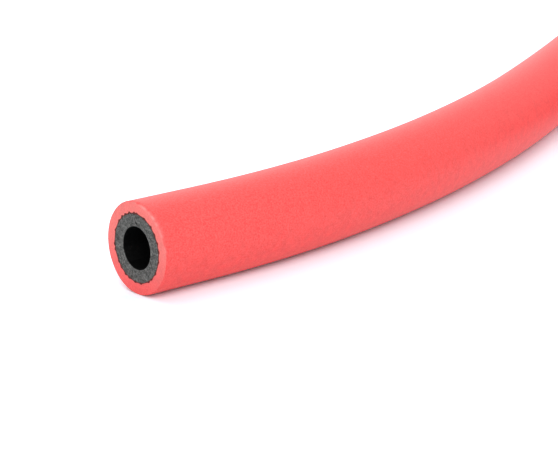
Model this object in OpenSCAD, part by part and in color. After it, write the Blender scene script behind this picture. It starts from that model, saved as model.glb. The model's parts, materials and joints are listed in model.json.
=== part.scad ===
// Fuel gas hose: a red rubber cover and a black rubber lining, with a textile braid between them.
// It lies on a flat surface. The end that is not in use is wound into a flat, tied coil.

/* [Hose] */
// Length of the whole hose along its middle
hose_length = 1000; // [700:10:2000]
// Diameter of the bore
bore_d = 6; // [4:0.5:8]
// Thickness of the black lining
lining_wall = 1.7; // [1.2:0.1:2.4]
// Thickness of the textile braid between its bundles of yarns
braid_wall = 0.15; // [0.1:0.05:0.4]
// Number of yarn bundles round the braid
bundle_count = 24; // [12:2:32]
// How far a bundle stands out into the cover
ridge_h = 0.3; // [0.1:0.05:0.4]
// How far a bundle bites into the lining
ridge_bite = 0.1; // [0.05:0.05:0.3]
// Thickness of the red cover over the bundles
cover_wall = 1.35; // [1:0.05:2.4]

/* [Coil] */
// Number of half turns in the coil
half_turns = 4; // [3:1:6]
// Gap between neighbouring turns
turn_gap = 0.2; // [0.1:0.05:1]

/* [Coil tie] */
// Width of the strap
tie_w = 3.6; // [2.4:0.2:6]
// Thickness of the strap, which bites that deep into the rubber
tie_t = 1; // [0.6:0.1:1.2]
// Length of the head, measured across the turns
tie_head_l = 6; // [4:0.5:9]
// Wall of the head at each side of the strap
tie_head_wall = 1; // [0.6:0.1:2]
// Height of the head above the hose
tie_head_h = 3.4; // [2:0.2:5]
// Height of the cut end of the strap above the head
tie_stub_h = 1.4; // [0.5:0.1:3]

/* [Hidden] */
$fn = 96;

bore_r = bore_d / 2;
lining_r = bore_r + lining_wall;
braid_r = lining_r + braid_wall + ridge_h;
hose_r = braid_r + cover_wall;
turn_pitch = 2 * hose_r + turn_gap;

// The hose lies in one plane. Its near cut end is straight, and is followed by bends. Each bend is
// [radius, angle] of the hose's middle: a positive angle turns left and a negative one turns right.
straight_l = 10;
lead_bends = [[155, 11.1], [230, 7.5], [300, 7.6], [900, 3.5]];
lead_count = len(lead_bends);
lead_length = straight_l + total([for (bend = lead_bends) bend[0] * bend[1] * PI / 180]);

// The coil takes up the rest of the length. It winds inwards, half a pitch for each half turn.
coil_r = thousandths((hose_length - lead_length) / (PI * half_turns) + turn_pitch * (half_turns - 1) / 4);
coil_bends = [for (i = [0 : half_turns - 1]) [coil_r - i * turn_pitch / 2, -180]];
bends = concat(lead_bends, coil_bends);

// Bends are joined by a tongue of this length inside the wall.
tongue_l = 1;

// The tie goes round the turns that lie side by side halfway along the first half turn.
turns_at_tie = ceil(half_turns / 2);
bundle_w = (turns_at_tie - 1) * turn_pitch;
// The strap bites into the rubber down to this radius.
seat_r = hose_r - tie_t;

function total(values, i = 0) = i == len(values) ? 0 : values[i] + total(values, i + 1);
function thousandths(value) = round(value * 1000) / 1000;

// Direction of the hose where bend n starts, in degrees from X
function heading(n) = n == 0 ? 0 : heading(n - 1) + bends[n - 1][1];

// Step from the middle of the hose to the centre of bend n, at a place where the hose has this heading
function to_centre(n, angle) = sign(bends[n][1]) * bends[n][0] * [-sin(angle), cos(angle), 0];

function bend_start(n) = n == 0 ? [straight_l, 0, 0] : centre(n - 1) - to_centre(n - 1, heading(n));
function centre(n) = bend_start(n) + to_centre(n, heading(n));

// Moves its children in two steps, so that no digit of the place is lost
module move_to(point) {
    near = [for (value = point) thousandths(value)];
    translate(near) translate(point - near) children();
}

// A stretch of bend n about its centre, with a section of the hose as its child
module arc(n, start, angle) {
    move_to(centre(n))
        rotate_extrude(angle = angle, start = start) translate([bends[n][0], 0]) children();
}

// The bends from number first to number last, with the hose's section as their first child.
// The second child is a smaller section within it, for the tongue that joins a bend to what comes before.
module hose_run(first, last, first_tongue) {
    for (n = [first : last]) {
        angle = bends[n][1];
        entry = heading(n) - 90 * sign(angle);
        arc(n, entry + min(angle, 0), abs(angle)) children(0);
        if (n >= first_tongue) {
            half_tongue = tongue_l / bends[n][0] * 90 / PI;
            arc(n, entry - half_tongue, 2 * half_tongue) children(1);
        }
    }
}

// The whole stretch before the coil: the straight near end and the bends
module lead() {
    rotate([90, 0, 90]) linear_extrude(straight_l) children(0);
    hose_run(0, lead_count - 1, 0) {
        children(0);
        children(1);
    }
}

module ring(outer_r, inner_r) {
    difference() {
        circle(r = outer_r);
        circle(r = inner_r);
    }
}

// Middle third of a wall
module wall_core(outer_r, inner_r) {
    ring((2 * outer_r + inner_r) / 3, (outer_r + 2 * inner_r) / 3);
}

// Outline that is round but for its bundles of yarns: its radius at the bundles, and between them
module bundled_outline(bundle_r, between_r) {
    half_step = 180 / bundle_count;
    polygon([
        for (i = [0 : 2 * bundle_count - 1])
            (i % 2 == 0 ? bundle_r : between_r) * [cos(i * half_step), sin(i * half_step)]
    ]);
}

module braid_outside() {
    bundled_outline(braid_r, braid_r - ridge_h);
}

module braid_inside() {
    bundled_outline(lining_r - ridge_bite, lining_r);
}

// Outline round the turns that lie side by side at the tie, for turns of the given radius
module bundle_outline(radius) {
    for (i = [0 : turns_at_tie - 1])
        translate([i * turn_pitch - bundle_w / 2, 0]) circle(r = radius);
    square([bundle_w, 2 * radius], center = true);
}

// Puts its children at the tie: X across the turns, Y along them, the origin in their middle
module at_tie() {
    move_to(centre(lead_count))
        rotate(heading(lead_count))
            translate([coil_r - bundle_w / 2, 0, 0]) children();
}

module tie_band(outer_r, inner_r) {
    rotate([90, 0, 0])
        linear_extrude(tie_w, center = true)
            difference() {
                bundle_outline(outer_r);
                bundle_outline(inner_r);
            }
}

module tie_head() {
    head_w = tie_w + 2 * tie_head_wall;
    translate([-tie_head_l / 2, -head_w / 2, seat_r])
        cube([tie_head_l, head_w, tie_t + tie_head_h]);
}

// The cut end of the strap, which comes out of the top of the head
module tie_stub() {
    translate([-tie_t / 2, -tie_w / 2, seat_r])
        cube([tie_t, tie_w, tie_t + tie_head_h + tie_stub_h]);
}

module cover() {
    color("salmon")
        lead() {
            difference() {
                circle(r = hose_r);
                braid_outside();
            }
            wall_core(hose_r, braid_r);
        }
}

module braid() {
    color("sienna")
        lead() {
            difference() {
                braid_outside();
                braid_inside();
            }
            wall_core(lining_r + braid_wall, lining_r);
        }
}

module lining() {
    color("dimgray")
        lead() {
            difference() {
                braid_inside();
                circle(r = bore_r);
            }
            wall_core(lining_r - ridge_bite, bore_r);
        }
}

module coil() {
    color("salmon")
        difference() {
            hose_run(lead_count, len(bends) - 1, lead_count + 1) {
                ring(hose_r, bore_r);
                wall_core(hose_r, bore_r);
            }
            at_tie() {
                tie_band(hose_r + turn_gap, seat_r);
                tie_head();
            }
        }
}

module coil_tie() {
    color("ivory")
        at_tie() {
            tie_band(hose_r, seat_r);
            tie_head();
            tie_stub();
        }
}

cover();
braid();
lining();
coil();
coil_tie();
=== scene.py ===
import json
import random
from math import cos, exp, pi, radians, sin, sqrt

import bmesh
import bpy
from mathutils import Matrix, Vector, noise


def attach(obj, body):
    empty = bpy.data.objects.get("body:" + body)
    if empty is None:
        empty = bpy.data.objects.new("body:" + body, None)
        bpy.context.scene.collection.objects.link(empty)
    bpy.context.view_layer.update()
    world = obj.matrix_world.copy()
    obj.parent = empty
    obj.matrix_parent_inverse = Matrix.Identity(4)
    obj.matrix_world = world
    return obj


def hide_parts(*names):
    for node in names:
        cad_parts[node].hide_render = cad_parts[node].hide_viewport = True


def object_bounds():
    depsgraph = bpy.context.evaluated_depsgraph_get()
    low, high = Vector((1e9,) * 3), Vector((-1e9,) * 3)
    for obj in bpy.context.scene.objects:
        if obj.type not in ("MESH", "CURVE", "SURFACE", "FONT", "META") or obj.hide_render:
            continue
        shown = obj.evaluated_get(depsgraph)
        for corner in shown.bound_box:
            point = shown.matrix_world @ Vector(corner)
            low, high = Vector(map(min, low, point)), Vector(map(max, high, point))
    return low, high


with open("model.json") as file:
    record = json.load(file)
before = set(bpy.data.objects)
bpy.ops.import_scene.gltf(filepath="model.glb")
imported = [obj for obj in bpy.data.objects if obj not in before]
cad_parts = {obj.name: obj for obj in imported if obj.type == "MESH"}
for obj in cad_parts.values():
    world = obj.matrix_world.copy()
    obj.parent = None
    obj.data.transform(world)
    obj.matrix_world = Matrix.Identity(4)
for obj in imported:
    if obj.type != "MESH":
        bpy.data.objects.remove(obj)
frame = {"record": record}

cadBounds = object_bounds()
floorHeight = cadBounds[0].z
print("frame loaded")


def addObject(name, data):
    thing = bpy.data.objects.new(name, data)
    bpy.context.collection.objects.link(thing)
    return thing


cameraView = {
    "place": (-0.16102, -0.21338, 0.07973),
    "turn": -41.144,  # degrees from +Y
    "tilt": 16.031,  # degrees below the horizon
    "lens": 133.6,
    "sensorWidth": 36,
    "clipStart": 0.01,
}


def makeCamera():
    data = bpy.data.cameras.new("camera")
    data.lens = cameraView["lens"]
    data.sensor_width = cameraView["sensorWidth"]
    data.clip_start = cameraView["clipStart"]
    camera = addObject("camera", data)
    camera.location = cameraView["place"]
    camera.rotation_euler = (radians(90 - cameraView["tilt"]), 0, radians(cameraView["turn"]))
    bpy.context.scene.camera = camera
    print("camera set")


# The middle of the hose lies in one plane: a short straight end, four wide bends to the left, then
# the coil, which turns right and winds inwards by half a pitch in each half turn.
hoseRoute = {
    "length": 1.0,
    "straight": 0.010,
    "bends": [(0.155, 11.1), (0.230, 7.5), (0.300, 7.6), (0.900, 3.5)],  # radius, degrees
    "halfTurns": 4,
    "turnPitch": 0.0132,
}


def routeStretches():
    # Length and curvature of each stretch of the lead, then of each half turn of the coil.
    # A curvature is positive where the hose turns left.
    lead = [(hoseRoute["straight"], 0.0)]
    lead += [(radius * radians(angle), 1 / radius) for radius, angle in hoseRoute["bends"]]
    halfTurns = hoseRoute["halfTurns"]
    spare = hoseRoute["length"] - sum(length for length, curvature in lead)
    coilRadius = spare / (pi * halfTurns) + hoseRoute["turnPitch"] * (halfTurns - 1) / 4
    radii = [coilRadius - i * hoseRoute["turnPitch"] / 2 for i in range(halfTurns)]
    return lead, [(pi * radius, -1 / radius) for radius in radii]


def follow(stretches, distance):
    # Place and heading at a distance along a path of arcs, which sets out along its first axis.
    # Past both ends it goes straight on.
    place = Vector((0, 0))
    heading = 0.0
    for length, curvature in stretches:
        step = min(distance, length)
        turned = heading + step * curvature
        if curvature:
            place += Vector((sin(turned) - sin(heading), cos(heading) - cos(turned))) / curvature
        else:
            place += step * Vector((cos(heading), sin(heading)))
        heading = turned
        distance -= step
        if distance <= 0:
            return place, heading
    return place + distance * Vector((cos(heading), sin(heading))), heading


def routeAt(distance):
    place, heading = follow(leadStretches + coilStretches, distance)
    return place.to_3d(), heading


def makeGuideCurve(name, places):
    data = bpy.data.curves.new(name, "CURVE")
    data.dimensions = "3D"
    spline = data.splines.new("POLY")
    spline.points.add(len(places) - 1)
    for point, place in zip(spline.points, places):
        point.co = (*place, 1)
    return addObject(name, data)


def makeRouteCurve():
    # A little longer than the hose at both ends, so that the uneven cuts follow it too
    count = int((hoseRoute["length"] + 2 * bending["runUp"]) / bending["step"])
    distances = [i * bending["step"] - bending["runUp"] for i in range(count + 1)]
    return makeGuideCurve("route", [routeAt(distance)[0] for distance in distances])


leadStretches, coilStretches = routeStretches()
leadLength = sum(length for length, curvature in leadStretches)


def addNode(tree, kind, inputs=None, **settings):
    # A new node with its settings. An input is a plain value or another node's output.
    node = tree.nodes.new(kind)
    for name, value in settings.items():
        setattr(node, name, value)
    for name, value in (inputs or {}).items():
        if isinstance(value, bpy.types.NodeSocket):
            tree.links.new(value, node.inputs[name])
        else:
            node.inputs[name].default_value = value
    return node


def maths(tree, operation, first, second=0.0):
    node = addNode(tree, "ShaderNodeMath", {0: first, 1: second}, operation=operation)
    return node.outputs[0]


def newGeometryTree(name, sockets):
    tree = bpy.data.node_groups.new(name, "GeometryNodeTree")
    for socketName, kind in [("Geometry", "NodeSocketGeometry")] + sockets:
        tree.interface.new_socket(socketName, in_out="INPUT", socket_type=kind)
    tree.interface.new_socket("Geometry", in_out="OUTPUT", socket_type="NodeSocketGeometry")
    return tree, addNode(tree, "NodeGroupInput").outputs


def finishTree(tree, geometry, material):
    real = addNode(tree, "GeometryNodeRealizeInstances", {"Geometry": geometry})
    painted = addNode(tree, "GeometryNodeSetMaterial",
                      {"Geometry": real.outputs["Geometry"], "Material": material})
    addNode(tree, "NodeGroupOutput", {"Geometry": painted.outputs["Geometry"]})
    return tree


def runTree(piece, tree, values):
    # Runs a geometry tree on a piece and keeps its result as the piece's plain mesh
    modifier = piece.modifiers.new(tree.name, "NODES")
    modifier.node_group = tree
    for socket in tree.interface.items_tree:
        if socket.in_out == "INPUT" and socket.name in values:
            modifier[socket.identifier] = values[socket.name]
    graph = bpy.context.evaluated_depsgraph_get()
    mesh = bpy.data.meshes.new_from_object(piece.evaluated_get(graph),
                                           preserve_all_data_layers=True, depsgraph=graph)
    piece.modifiers.clear()
    mesh.name = piece.name
    piece.data = mesh
    return piece


bending = {
    "runUp": 0.002,
    "step": 0.0005,
}


def bendingTree():
    # Takes a wall laid out flat, with X the distance along the hose, Y the angle round it and Z the
    # distance from its middle, and bends it along the route.
    tree, given = newGeometryTree("bendAlongRoute", [
        ("Route", "NodeSocketObject"), ("Run-up", "NodeSocketFloat"), ("Finish", "NodeSocketMaterial")])
    flat = addNode(tree, "ShaderNodeSeparateXYZ",
                   {0: addNode(tree, "GeometryNodeInputPosition").outputs[0]}).outputs
    curve = addNode(tree, "GeometryNodeObjectInfo", {"Object": given["Route"]}).outputs["Geometry"]
    along = addNode(tree, "GeometryNodeSampleCurve", {
        "Curves": curve, "Length": maths(tree, "ADD", flat["X"], given["Run-up"])}, mode="LENGTH")
    left = addNode(tree, "ShaderNodeVectorMath", {
        0: (0, 0, 1), 1: along.outputs["Tangent"]}, operation="CROSS_PRODUCT").outputs[0]
    up = maths(tree, "MULTIPLY", flat["Z"], maths(tree, "COSINE", flat["Y"]))
    right = maths(tree, "MULTIPLY", flat["Z"], maths(tree, "SINE", flat["Y"]))
    sideways = addNode(tree, "ShaderNodeVectorMath", {
        0: left, "Scale": maths(tree, "MULTIPLY", right, -1.0)}, operation="SCALE").outputs[0]
    upwards = addNode(tree, "ShaderNodeCombineXYZ", {"Z": up}).outputs[0]
    offset = addNode(tree, "ShaderNodeVectorMath", {0: sideways, 1: upwards}).outputs[0]
    place = addNode(tree, "ShaderNodeVectorMath", {0: along.outputs["Position"], 1: offset}).outputs[0]
    bent = addNode(tree, "GeometryNodeSetPosition", {"Geometry": given["Geometry"], "Position": place})
    return finishTree(tree, bent.outputs["Geometry"], given["Finish"])


hose = {
    "boreRadius": frame["record"]["mounts"][0]["dims"]["r_mm"] / 1000,
    "outerRadius": frame["record"]["mounts"][1]["dims"]["r_mm"] / 1000,
    "cutStep": 0.0005,
    "leadStep": 0.0015,
    "coilStep": 0.0035,
    "tieStep": 0.0005,
    "hiddenStep": 0.008,
    "coverRings": 9,  # rings of points across each layer's cut
    "braidRings": 2,
    "liningRings": 12,
    "edgeRounding": 0.00011,
    "edgeWaver": (0.6, 3),  # share of the rounding, and waves round the edge
    "edgeNoise": 5,  # which slice of the noise
    # Steps round the cut's outer edge: the turn in degrees, then how much of the cut's colour and of the
    # painted highlight is left there. The cut's colour ends early in the rounding.
    "edgeSteps": [(0, 1, 0.5), (22, 0.1, 1), (45, 0, 0.25), (68, 0, 0), (90, 0, 0)],
    "boreEdge": 0.00006,
    "rolledEdge": 0.00042,  # how much rounder the edge is where the knife left
    "rolledAngle": radians(38),
    "rolledReach": radians(52),
    "highlightPatches": (0.55, 1.3, 9),  # how much of the edge has the painted highlight, how unevenly, and waves round the edge
    "highlightNoise": 2,
    "cutWaves": (0.00003, 420),  # how far the knife left the cut uneven, and waves to the metre
    "cutGrain": (0.000012, 2600),
    "outlineWaves": (0.00004, 2.5, 120),  # out of round at the cuts, and waves round and along it
    "outlineFade": 0.004,
    "sharpFrom": radians(45),
    "pathSpacing": 0.005,
}

yarns = {
    # Where the yarns' cut ends lie, in degrees clockwise from the top
    "angles": [2, 22, 41, 56, 70, 84, 101, 123, 139, 148, 170, 185,
               201, 211, 226, 236, 256, 265, 289, 309, 321, 332, 342, 356],
    "betweenRadius": 0.00483,
    "height": (0.00013, 0.00025),
    "flank": [(1.6, 0.88), (2.9, 0.35)],  # degrees to either side, and share of the height there
    "thickness": (0.00005, 0.00028),  # between the yarns, and at them
    "frayed": 0.00004,  # how far the yarns stand out of the cut
    "seed": 7,
}

tieSeat = {
    "radius": 0.0055,  # what the strap squeezes the hose to
    "width": 0.0036,
    "release": 0.0030,  # how far the hose takes to swell out again
}


def tiePlaces():
    # How far along the hose it passes the tie, and on which side the strap goes round it
    first, second, third = [length for length, curvature in coilStretches][:3]
    return [(leadLength + first / 2, -1), (leadLength + first + second + third / 2, 1)]


def smoothStep(share):
    share = min(max(share, 0), 1)
    return share * share * (3 - 2 * share)


def noiseRound(angle, waves, place):
    # Noise that closes on itself round the hose
    return noise.noise(Vector((waves * sin(angle), waves * cos(angle), place)))


def skinRadius(distance, angle):
    # The strap of the tie draws the skin in, and the cut ends are a little out of round
    outer = hose["outerRadius"]
    for place, strapSide in tiePlaces():
        away = abs(distance - place) - tieSeat["width"] / 2
        seat = tieSeat["radius"]
        if sin(angle) * strapSide < 0:
            # Towards the other turn the strap runs straight on, over and under the hose
            seat /= max(abs(cos(angle)), seat / outer)
        outer -= (outer - seat) * smoothStep(1 - away / tieSeat["release"])
    toEnd = min(distance, hoseRoute["length"] - distance)
    depth, around, along = hose["outlineWaves"]
    waves = noiseRound(angle, around, along * distance)
    return outer - depth * abs(waves) * exp(-toEnd / hose["outlineFade"])


def fromRolled(angle):
    # How far round the edge a point lies from the middle of its rolled stretch
    return abs((angle - hose["rolledAngle"] + pi) % (2 * pi) - pi)


def edgeSize(angle):
    # The rounding of the cut edge, which wavers and is larger at the side the knife left by
    depth, waves = hose["edgeWaver"]
    waver = noiseRound(angle, waves, hose["edgeNoise"])
    rolled = hose["rolledEdge"] * cos(min(fromRolled(angle) / hose["rolledReach"], 1) * pi / 2)
    return hose["edgeRounding"] * (1 + depth * waver) + rolled


def cutRelief(angle, radius):
    place = Vector((radius * sin(angle), radius * cos(angle), 0))
    return sum(depth * noise.noise(place * waves) for depth, waves in (hose["cutWaves"], hose["cutGrain"]))


def circle(radius):
    # The yarns' ends lie a little past even spacing, and so do the points of a circle
    lag = sum(radians(angle) - 2 * pi * i / len(yarns["angles"]) for i, angle in enumerate(yarns["angles"]))
    lag /= len(yarns["angles"])
    columns = len(yarns["angles"]) * (2 + 2 * len(yarns["flank"]))
    return [(2 * pi * i / columns + lag, radius) for i in range(columns)]


def yarnOutlines():
    # The outside and the inside of the braid
    draw = random.Random(yarns["seed"])
    angles = [radians(angle) for angle in yarns["angles"]]
    outside, inside = [], []
    for here, there in zip(angles, angles[1:] + [angles[0] + 2 * pi]):
        height = draw.uniform(*yarns["height"])
        points = [(here, 1)] + [(here + radians(away), share) for away, share in yarns["flank"]]
        points += [((here + there) / 2, 0)]
        points += [(there - radians(away), share) for away, share in reversed(yarns["flank"])]
        for angle, share in points:
            radius = yarns["betweenRadius"] + height * share
            thin, thick = yarns["thickness"]
            outside.append((angle, radius))
            inside.append((angle, radius - thin - (thick - thin) * share))
    return outside, inside


def skinStations():
    # Distances along the hose at which its skin has a ring of points
    stations = []
    length = hoseRoute["length"]
    atEnd = hose["edgeRounding"] + hose["rolledEdge"] + hose["cutStep"]
    reach = tieSeat["width"] / 2 + tieSeat["release"] + hose["coilStep"]
    distance = atEnd
    while distance < length - atEnd:
        stations.append(distance)
        if min(distance, length - distance) < hose["outlineFade"]:
            distance += hose["cutStep"]
        elif min(abs(distance - place) for place, side in tiePlaces()) < reach:
            distance += hose["tieStep"]
        elif distance < leadLength:
            distance += hose["leadStep"]
        else:
            distance += hose["coilStep"]
    return stations


def wallStations():
    # The same for a wall that doesn't show
    count = int(hoseRoute["length"] / hose["hiddenStep"])
    inner = [hoseRoute["length"] * i / count for i in range(1, count)]
    return [hose["boreEdge"]] + inner + [hoseRoute["length"] - hose["boreEdge"]]


def cutRings(inner, outer, steps, proud):
    # Rings of points over the near cut, from the inner outline to the outer one
    rings = []
    for i in range(steps + 1):
        share = i / steps
        ring = []
        for (innerAngle, innerRadius), (outerAngle, outerRadius) in zip(inner, outer):
            angle = innerAngle + (outerAngle - innerAngle) * share
            radius = innerRadius + (outerRadius - innerRadius) * share
            ring.append((cutRelief(angle, radius) - proud, angle, radius, 1.0, 0.0))
        rings.append(ring)
    return rings


def paintedEdgeHighlight(angle):
    # A painted highlight along the rolled edge, in patches
    amount, unevenness, waves = hose["highlightPatches"]
    patches = amount + unevenness * noiseRound(angle, waves, hose["highlightNoise"])
    return sqrt(max(1 - fromRolled(angle) / hose["rolledReach"], 0)) * min(max(patches, 0), 1)


def edgeRings(outline):
    rings = []
    for turn, cutShare, highlightShare in hose["edgeSteps"]:
        ring = []
        for angle, radius in outline:
            size = edgeSize(angle)
            distance = size * (1 - cos(radians(turn)))
            outer = skinRadius(distance, angle) - size * (1 - sin(radians(turn)))
            distance += cutRelief(angle, outer) * (1 - turn / 90)
            ring.append((distance, angle, outer, cutShare, highlightShare * paintedEdgeHighlight(angle)))
        rings.append(ring)
    return rings


def atFarEnd(rings):
    length = hoseRoute["length"]
    return [[(length - distance, *rest) for distance, *rest in ring] for ring in reversed(rings)]


def wallRings(outline, stations):
    return [[(distance, angle, radius, 0.0, 0.0) for angle, radius in outline] for distance in stations]


def ringMesh(name, rings):
    # Joins rings of points into one closed skin, the last to the first
    mesh = bpy.data.meshes.new(name)
    columns = len(rings[0])
    points = [point for ring in rings for point in ring]
    faces = []
    for i in range(len(rings)):
        here, there = i * columns, (i + 1) % len(rings) * columns
        for j in range(columns):
            k = (j + 1) % columns
            faces.append((here + j, here + k, there + k, there + j))
    mesh.from_pydata([point[:3] for point in points], [], faces)
    # Masks for the cut's colour and for the painted highlight on the cut's edge
    for column, attribute in ((3, "cut"), (4, "scuff")):
        values = mesh.attributes.new(attribute, "FLOAT", "POINT")
        values.data.foreach_set("value", [point[column] for point in points])
    return mesh


def makeLayer(name, rings, finish):
    piece = addObject(name, ringMesh(name, rings))
    runTree(piece, layerTree, {"Route": routeCurve, "Run-up": bending["runUp"], "Finish": finish})
    piece.data.shade_smooth()
    piece.data.set_sharp_from_angle(angle=hose["sharpFrom"])
    return piece


def makeCover(finish):
    outside = yarnOutlines()[0]
    skin = circle(hose["outerRadius"])
    rim = [(angle, skinRadius(0, angle) - edgeSize(angle)) for angle, radius in skin]
    near = cutRings(outside, rim, hose["coverRings"], 0)[:-1] + edgeRings(skin)
    skinRings = [[(distance, angle, skinRadius(distance, angle), 0.0, 0.0) for angle, radius in skin]
                 for distance in skinStations()]
    back = wallRings(outside, reversed(wallStations()))
    return makeLayer("hoseCover", near + skinRings + atFarEnd(near) + back, finish)


def makeBraid(finish):
    outside, inside = yarnOutlines()
    near = cutRings(inside, outside, hose["braidRings"], yarns["frayed"])
    rings = near + wallRings(outside, wallStations()) + atFarEnd(near)
    return makeLayer("hoseBraid", rings + wallRings(inside, reversed(wallStations())), finish)


def makeLining(finish):
    inside = yarnOutlines()[1]
    mouth = circle(hose["boreRadius"] + hose["boreEdge"])
    near = cutRings(mouth, inside, hose["liningRings"], 0)
    back = wallRings(circle(hose["boreRadius"]), reversed(wallStations()))
    return makeLayer("hoseLining", near + wallRings(inside, wallStations()) + atFarEnd(near) + back, finish)


def declareHose(cover):
    count = int(hoseRoute["length"] / hose["pathSpacing"])
    path = [routeAt(i * hoseRoute["length"] / count)[0] for i in range(count + 1)]
    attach(cover, "root")
    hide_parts("cover", "coil")


def newMaterial(name):
    material = bpy.data.materials.new(name)
    material.use_nodes = True
    return material, material.node_tree, material.node_tree.nodes["Principled BSDF"]


def grain(tree, scale, detail=3.0, stretch=(1, 1, 1), turn=(0, 0, 0)):
    # Noise on the piece's own coordinates, with the given number of grains to the metre
    place = addNode(tree, "ShaderNodeTexCoord").outputs["Object"]
    mapped = addNode(tree, "ShaderNodeMapping", {"Vector": place, "Rotation": turn, "Scale": stretch})
    return addNode(tree, "ShaderNodeTexNoise", {
        "Vector": mapped.outputs[0], "Scale": scale, "Detail": detail, "Roughness": 0.6}).outputs["Fac"]


def spread(tree, value, low, high, start=0.3, end=0.7):
    return addNode(tree, "ShaderNodeMapRange", {
        "Value": value, "From Min": start, "From Max": end, "To Min": low, "To Max": high}).outputs[0]


def mixed(tree, share, first, second):
    # Blend of two colours, each given as numbers or as a node's output. The node's inputs 6 and 7
    # are its colours, where its named ones are for numbers.
    first, second = [(*colour, 1) if isinstance(colour, tuple) else colour for colour in (first, second)]
    blend = addNode(tree, "ShaderNodeMix", {"Factor": share, 6: first, 7: second}, data_type="RGBA")
    return blend.outputs[2]


def meshValue(tree, name):
    return addNode(tree, "ShaderNodeAttribute", attribute_name=name).outputs["Fac"]


def varied(tree, value, amount):
    # Brightness that varies by the given share to either side of 1
    return spread(tree, value, 1 - amount, 1 + amount)


def shaded(tree, colour, *values):
    # A colour with its brightness multiplied by each value in turn
    for value in values:
        colour = addNode(tree, "ShaderNodeHueSaturation", {"Color": colour, "Value": value}).outputs[0]
    return colour


def setFinish(tree, surface, look, colour, relief=None):
    # Gives the surface its colour, the shine that its look names, and a fine relief
    tree.links.new(colour, surface.inputs["Base Color"])
    for name, socket in (("roughness", "Roughness"), ("specular", "Specular IOR Level"),
                         ("sheen", "Sheen Weight"), ("sheenRoughness", "Sheen Roughness")):
        if name in look:
            surface.inputs[socket].default_value = look[name]
    if relief:
        bump = addNode(tree, "ShaderNodeBump", {
            "Strength": look["bumpStrength"], "Distance": look["bumpHeight"], "Height": relief})
        tree.links.new(bump.outputs[0], surface.inputs["Normal"])


coverRubber = {
    "skin": (0.89, 0.037, 0.035),
    # the lighter specks' own colour, also used for the painted highlight on the cut's rolled edge
    "speckAndHighlightColour": (0.93, 0.38, 0.36),
    # The cut's colours: paled by painted light at the top, redder with painted shade at the bottom
    "cut": (0.95, 0.148, 0.132),
    "cutPaintedShade": (0.95, 0.060, 0.062),
    "paintedShadeBelow": -0.0055,  # painted shade makes the cut redder below this height, and painted light makes it pale above the next
    "paintedLightAbove": 0.0005,
    "speckle": 0.05,
    "speckleGrain": 4200,  # grains to the metre
    "bloom": 0.18,  # how pale the lighter specks are
    "mottle": 0.06,
    "mottleGrain": 800,
    "bumpHeight": 0.000014,
    "bumpStrength": 0.5,
    "roughness": 0.62,
    "specular": 0.71,
    "sheen": 0.1,
    "sheenRoughness": 0.28,
}


def makeCoverRubber():
    material, tree, surface = newMaterial("coverRubber")
    place = addNode(tree, "ShaderNodeTexCoord").outputs["Object"]
    height = addNode(tree, "ShaderNodeSeparateXYZ", {0: place}).outputs["Z"]
    # The cut's colour goes from painted shade at the bottom to painted light at the top
    paintedLight = spread(tree, height, 0, 1, coverRubber["paintedShadeBelow"], coverRubber["paintedLightAbove"])
    cut = mixed(tree, paintedLight, coverRubber["cutPaintedShade"], coverRubber["cut"])
    colour = mixed(tree, meshValue(tree, "cut"), coverRubber["skin"], cut)
    # The painted highlight along the cut's rolled edge
    colour = mixed(tree, meshValue(tree, "scuff"), colour, coverRubber["speckAndHighlightColour"])
    speckle = grain(tree, coverRubber["speckleGrain"])
    mottle = grain(tree, coverRubber["mottleGrain"])
    bloom = spread(tree, speckle, 0, coverRubber["bloom"])
    colour = mixed(tree, bloom, colour, coverRubber["speckAndHighlightColour"])
    colour = shaded(tree, colour, varied(tree, speckle, coverRubber["speckle"]),
                    varied(tree, mottle, coverRubber["mottle"]))
    setFinish(tree, surface, coverRubber, colour, speckle)
    return material


liningRubber = {
    # the bore wall: dark rubber, made darker still as painted shade inside the tube
    "bore": (0.002, 0.002, 0.002),
    "cut": (0.121, 0.122, 0.119),
    "speckle": 0.6,
    "speckleGrain": 4200,  # grains to the metre
    "blotches": 0.5,
    "blotchGrain": 1500,
    "blotchStretch": (1, 0.6, 1.2),
    "blotchTurn": radians(35),
    "bumpHeight": 0.00006,
    "bumpStrength": 0.6,
    "roughness": 0.8,
    "specular": 0.05,
    "nickPlace": (0, -0.00002, 0.00348),  # a small nick in the cut above the bore, drawn only as painted shade
    "nickSize": 0.00021,
    "nickStretch": (1, 2, 1),
    "nickTurn": radians(35),
    "nickCore": 0.3,  # share of the nick where its painted shade is deepest
    "nickPaintedShade": 0.85,
}


def nickAt(tree):
    # 1 in the middle of the nick and 0 outside it, for its painted shade
    place = addNode(tree, "ShaderNodeTexCoord").outputs["Object"]
    mapped = addNode(tree, "ShaderNodeMapping", {
        "Vector": place, "Location": liningRubber["nickPlace"],
        "Rotation": (liningRubber["nickTurn"], 0, 0), "Scale": liningRubber["nickStretch"]},
        vector_type="TEXTURE")
    away = addNode(tree, "ShaderNodeVectorMath", {0: mapped.outputs[0]}, operation="LENGTH")
    size = liningRubber["nickSize"]
    return spread(tree, away.outputs["Value"], 1, 0, liningRubber["nickCore"] * size, size)


def makeLiningRubber():
    material, tree, surface = newMaterial("liningRubber")
    colour = mixed(tree, meshValue(tree, "cut"), liningRubber["bore"], liningRubber["cut"])
    speckle = grain(tree, liningRubber["speckleGrain"])
    blotches = grain(tree, liningRubber["blotchGrain"], stretch=liningRubber["blotchStretch"],
                     turn=(liningRubber["blotchTurn"], 0, 0))
    # The nick has no relief of its own: it is darkened as painted shade
    colour = shaded(tree, colour, varied(tree, speckle, liningRubber["speckle"]),
                    varied(tree, blotches, liningRubber["blotches"]),
                    spread(tree, nickAt(tree), 1, 1 - liningRubber["nickPaintedShade"], 0, 1))
    setFinish(tree, surface, liningRubber, colour, speckle)
    return material


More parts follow.
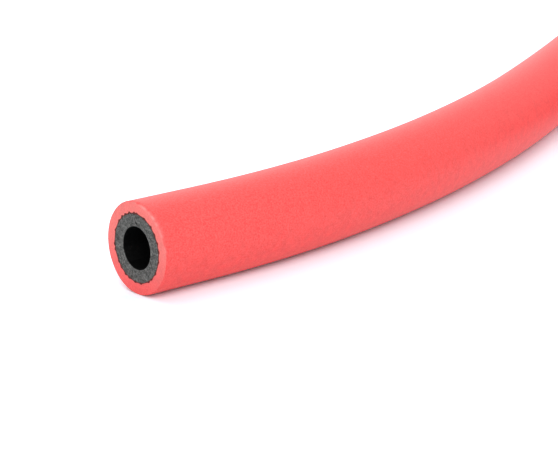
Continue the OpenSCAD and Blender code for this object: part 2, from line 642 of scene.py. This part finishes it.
braidTextile = {
    "yarn": (0.13, 0.032, 0.028),
    "fibres": 0.4,
    "fibreGrain": 6000,
    "roughness": 0.9,
    "specular": 0.2,
}


def makeBraidTextile():
    material, tree, surface = newMaterial("braidTextile")
    fibres = varied(tree, grain(tree, braidTextile["fibreGrain"]), braidTextile["fibres"])
    setFinish(tree, surface, braidTextile, shaded(tree, (*braidTextile["yarn"], 1), fibres))
    return material


tieNylon = {
    "colour": (0.70, 0.68, 0.60),
    "cloud": 0.05,
    "cloudGrain": 500,
    "roughness": 0.4,
}


def makeTieNylon():
    material, tree, surface = newMaterial("tieNylon")
    cloud = spread(tree, grain(tree, tieNylon["cloudGrain"], detail=2.0), 1 - tieNylon["cloud"], 1.0)
    setFinish(tree, surface, tieNylon, shaded(tree, (*tieNylon["colour"], 1), cloud))
    return material


# The tie's own frame has its origin in the middle of the turns, X across them and Z up. The strap
# starts under the head, goes round the turns and comes up through the head's slot.
tie = {
    "strapEdge": 0.0002,
    "strapStart": 0.0006,
    "strapStep": 0.0004,
    "neckRise": 0.0007,  # how much thicker the strap is where it leaves the head
    "neckLength": 0.0022,
    "tailBend": 0.0012,
    "grooveWidth": 0.0022,
    "grooveDepth": 0.0003,
    "toothPitch": 0.0009,
    "toothHeight": 0.00036,  # its root is sunk in the groove's floor
    "toothFoot": 0.85,  # shares of the pitch: how long a tooth is, and where its tip stands
    "toothTip": 0.15,
    "toothedLength": 0.032,  # from the cut end
    "headLength": 0.006,
    "headWidth": 0.0056,
    "headHeight": 0.0034,
    "headCorner": 0.0008,
    "headEdge": 0.0003,
    "slotLength": 0.0016,
    "slotWidth": 0.0040,
    "slotFlare": 0.0002,
    "stubHeight": 0.0014,
    "cutSlant": 0.12,
    "cornerSteps": 4,
    "sharpFrom": radians(35),
}


def strapStretches():
    # Length and curvature of each stretch of the strap, from the head's foot to the cut end
    radius = (hose["outerRadius"] + tieSeat["radius"]) / 2
    half = hoseRoute["turnPitch"] / 2
    bend = tie["tailBend"]
    rise = hose["outerRadius"] + tie["headHeight"] + tie["stubHeight"] - radius - bend
    turn = (pi * radius, -1 / radius)
    return [(half - tie["strapStart"], 0.0), turn, (2 * half, 0.0), turn,
            (half - bend, 0.0), (bend * pi / 2, 1 / bend), (rise, 0.0)]


def strapAt(distance):
    place, heading = follow(strapStretches(), distance)
    start = Vector((tie["strapStart"], (hose["outerRadius"] + tieSeat["radius"]) / 2))
    return place + start, heading


def roundedRectangle(length, width, corner):
    points = []
    for quarter, (x, y) in enumerate(((1, 1), (-1, 1), (-1, -1), (1, -1))):
        for i in range(tie["cornerSteps"] + 1):
            angle = (quarter + i / tie["cornerSteps"]) * pi / 2
            points.append((x * (length / 2 - corner) + corner * cos(angle),
                           y * (width / 2 - corner) + corner * sin(angle)))
    return points


def strapSection():
    # Across the strap and through it, with the groove that its teeth stand in on the inside
    thickness = hose["outerRadius"] - tieSeat["radius"]
    outline = roundedRectangle(tieSeat["width"], thickness, tie["strapEdge"])
    side, floor = tie["grooveWidth"] / 2, tie["grooveDepth"] - thickness / 2
    groove = [(-side, -thickness / 2), (-side, floor), (side, floor), (side, -thickness / 2)]
    threeCorners = 3 * (tie["cornerSteps"] + 1)
    return outline[:threeCorners] + groove + outline[threeCorners:]


def addRings(mesh, rings, closed):
    # Skins a row of rings of points, and joins its last ring to the first or caps both ends
    loops = [[mesh.verts.new(point) for point in ring] for ring in rings]
    pairs = list(zip(loops, loops[1:]))
    if closed:
        pairs.append((loops[-1], loops[0]))
    for here, there in pairs:
        for i in range(len(here)):
            k = (i + 1) % len(here)
            mesh.faces.new((here[i], here[k], there[k], there[i]))
    if not closed:
        mesh.faces.new(loops[0][::-1])
        mesh.faces.new(loops[-1])


def addSolid(name, mesh):
    bmesh.ops.recalc_face_normals(mesh, faces=mesh.faces)
    data = bpy.data.meshes.new(name)
    mesh.to_mesh(data)
    mesh.free()
    return addObject(name, data)


def addStrap(mesh):
    length = sum(stretch for stretch, curvature in strapStretches())
    count = round(length / tie["strapStep"])
    neckStart = tie["headLength"] / 2 - tie["strapStart"]
    rings = []
    for i in range(count + 1):
        distance = length * i / count
        place, heading = strapAt(distance)
        rise = tie["neckRise"] * smoothStep(1 - (distance - neckStart) / tie["neckLength"])
        ring = []
        for across, through in strapSection():
            outwards = through + (rise if through > 0 else 0)
            x = place.x - sin(heading) * outwards
            z = place.y + cos(heading) * outwards
            if i == count:
                z -= tie["cutSlant"] * (across + tieSeat["width"] / 2)
            ring.append((x, across, z))
        rings.append(ring)
    addRings(mesh, rings, False)


def addHead(mesh):
    # Outlines from the foot up the outside, over the top and down through the slot
    foot = hose["outerRadius"]
    top = foot + tie["headHeight"]
    edge, flare, corner = tie["headEdge"], tie["slotFlare"], tie["headCorner"]
    outlines = []
    for height, turn in [(foot, 0), (foot, 45), (foot, 90), (top, 90), (top, 45), (top, 0)]:
        inset = edge * (1 - sin(radians(turn)))
        lift = edge * (1 - cos(radians(turn)))
        outlines.append((height + lift * (1 if height == foot else -1), tie["headLength"] - 2 * inset,
                         tie["headWidth"] - 2 * inset, corner - inset))
    for height, widening in [(top, flare), (top - flare, 0), (foot + flare, 0), (foot, flare)]:
        outlines.append((height, tie["slotLength"] + 2 * widening, tie["slotWidth"] + 2 * widening, flare))
    rings = [[(x, y, height) for x, y in roundedRectangle(length, width, rounding)]
             for height, length, width, rounding in outlines]
    addRings(mesh, rings, True)


def makeTooth():
    # A ramp that rises from the groove's floor to the strap's inner face
    half = tie["grooveWidth"] / 2
    face = (hose["outerRadius"] - tieSeat["radius"]) / 2
    root = face - tie["toothHeight"]
    foot, tip = tie["toothFoot"] * tie["toothPitch"], tie["toothTip"] * tie["toothPitch"]
    mesh = bmesh.new()
    addRings(mesh, [[(0, y, -root), (foot, y, -root), (tip, y, -face)] for y in (half, -half)], False)
    return addSolid("tooth", mesh)


def teethTree():
    tree, given = newGeometryTree("teethAlongStrap", [
        ("Strap", "NodeSocketObject"), ("Tooth", "NodeSocketObject"), ("From", "NodeSocketFloat"),
        ("Pitch", "NodeSocketFloat"), ("Finish", "NodeSocketMaterial")])
    strap = addNode(tree, "GeometryNodeObjectInfo", {"Object": given["Strap"]}).outputs["Geometry"]
    tooth = addNode(tree, "GeometryNodeObjectInfo", {"Object": given["Tooth"]}).outputs["Geometry"]
    whole = addNode(tree, "GeometryNodeCurveLength", {"Curve": strap}).outputs[0]
    toothed = addNode(tree, "GeometryNodeTrimCurve", {"Curve": strap}, mode="LENGTH")
    lengths = [socket for socket in toothed.inputs if socket.type == "VALUE" and socket.enabled]
    tree.links.new(given["From"], lengths[0])
    tree.links.new(maths(tree, "SUBTRACT", whole, given["Pitch"]), lengths[1])
    points = addNode(tree, "GeometryNodeCurveToPoints", {
        "Curve": toothed.outputs[0], "Length": given["Pitch"]}, mode="LENGTH")
    turned = addNode(tree, "FunctionNodeAlignRotationToVector", {
        "Vector": points.outputs["Tangent"]}, axis="X", pivot_axis="Y")
    teeth = addNode(tree, "GeometryNodeInstanceOnPoints", {
        "Points": points.outputs["Points"], "Instance": tooth, "Rotation": turned.outputs[0]})
    joined = addNode(tree, "GeometryNodeJoinGeometry")
    tree.links.new(given["Geometry"], joined.inputs[0])
    tree.links.new(teeth.outputs[0], joined.inputs[0])
    return finishTree(tree, joined.outputs[0], given["Finish"])


def tieFrame():
    # The tie sits halfway along the first half turn, round all the turns that lie side by side there
    middle, heading = routeAt(leadLength + coilStretches[0][0] / 2)
    toCentre = Vector((sin(heading), -cos(heading), 0))
    place = middle + toCentre * hoseRoute["turnPitch"] / 2
    return Matrix.Translation(place) @ Matrix.Rotation(heading + pi / 2, 4, "Z")


def makeTie(finish):
    mesh = bmesh.new()
    addStrap(mesh)
    addHead(mesh)
    piece = addSolid("coilTie", mesh)
    length = sum(stretch for stretch, curvature in strapStretches())
    distances = [i * tie["strapStep"] for i in range(int(length / tie["strapStep"]) + 1)]
    places = [strapAt(distance)[0] for distance in distances]
    strap = makeGuideCurve("strap", [(place.x, 0, place.y) for place in places])
    tooth = makeTooth()
    runTree(piece, teethTree(), {
        "Strap": strap, "Tooth": tooth, "From": length - tie["toothedLength"],
        "Pitch": tie["toothPitch"], "Finish": finish})
    bpy.data.objects.remove(strap)
    bpy.data.objects.remove(tooth)
    piece.data.transform(tieFrame())
    piece.data.shade_smooth()
    piece.data.set_sharp_from_angle(angle=tie["sharpFrom"])
    print("tie made")
    return piece


studio = {
    "floorSize": 8.0,
    "floorColour": (0.92, 0.93, 0.94),
    "floorSeen": (1.02, 1.28, 1.38),  # overexposed, as a white table is, but with its shadows
    "skyStrength": 0.36,
    # Height is in degrees above the floor, and side in degrees from +Y, where the light goes
    "lamps": {
        "softbox": {"strength": 1.6, "angle": 50, "height": 35, "side": -41},
        "sidelight": {"strength": 0.49, "angle": 36, "height": 40, "side": 20},
        "backlight": {"strength": 1.17, "angle": 50, "height": 35, "side": 160},
        "overhead": {"strength": 0.6, "angle": 60, "height": 80, "side": 160},
    },
}


def seenRays(tree):
    # 1 where the camera sees the surface, straight or in a mirror or glass, and 0 where it lights another
    ray = addNode(tree, "ShaderNodeLightPath").outputs
    seen = maths(tree, "ADD", ray["Is Camera Ray"], ray["Is Glossy Ray"])
    return addNode(tree, "ShaderNodeMath", {0: seen, 1: ray["Is Transmission Ray"]},
                   operation="ADD", use_clamp=True).outputs[0]


def makeFloor():
    half = studio["floorSize"] / 2
    mesh = bpy.data.meshes.new("floor")
    corners = [(-half, -half), (half, -half), (half, half), (-half, half)]
    mesh.from_pydata([(x, y, floorHeight) for x, y in corners], [], [(0, 1, 2, 3)])
    floor = addObject("floor", mesh)
    material, tree, surface = newMaterial("floorPaper")
    colour = mixed(tree, seenRays(tree), studio["floorColour"], studio["floorSeen"])
    paper = addNode(tree, "ShaderNodeBsdfDiffuse", {"Color": colour})
    tree.links.new(paper.outputs[0], tree.nodes["Material Output"].inputs["Surface"])
    tree.nodes.remove(surface)
    mesh.materials.append(material)


def makeLight():
    world = bpy.data.worlds.new("studio")
    world.use_nodes = True
    bpy.context.scene.world = world
    tree = world.node_tree
    background = tree.nodes["Background"]
    background.inputs["Color"].default_value = (1, 1, 1, 1)
    strength = spread(tree, seenRays(tree), studio["skyStrength"], 1.0, 0.0, 1.0)
    tree.links.new(strength, background.inputs["Strength"])
    for name, light in studio["lamps"].items():
        data = bpy.data.lights.new(name, "SUN")
        data.energy = light["strength"]
        data.angle = radians(light["angle"])
        lamp = addObject(name, data)
        lamp.rotation_euler = (radians(90 - light["height"]), 0, radians(light["side"]))
    print("floor and light made")


makeCamera()
routeCurve = makeRouteCurve()
layerTree = bendingTree()
hoseCover = makeCover(makeCoverRubber())
hoseBraid = makeBraid(makeBraidTextile())
hoseLining = makeLining(makeLiningRubber())
coilTie = makeTie(makeTieNylon())
bpy.data.objects.remove(routeCurve)
for piece, node, slot in ((hoseBraid, "braid", "braid_textile"), (hoseLining, "lining", "lining_rubber"),
                          (coilTie, "coil_tie", "tie_nylon")):
    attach(piece, "root")
    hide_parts(node)
declareHose(hoseCover)
print("hose made")

makeFloor()
makeLight()
bpy.context.scene.view_settings.view_transform = "Standard"
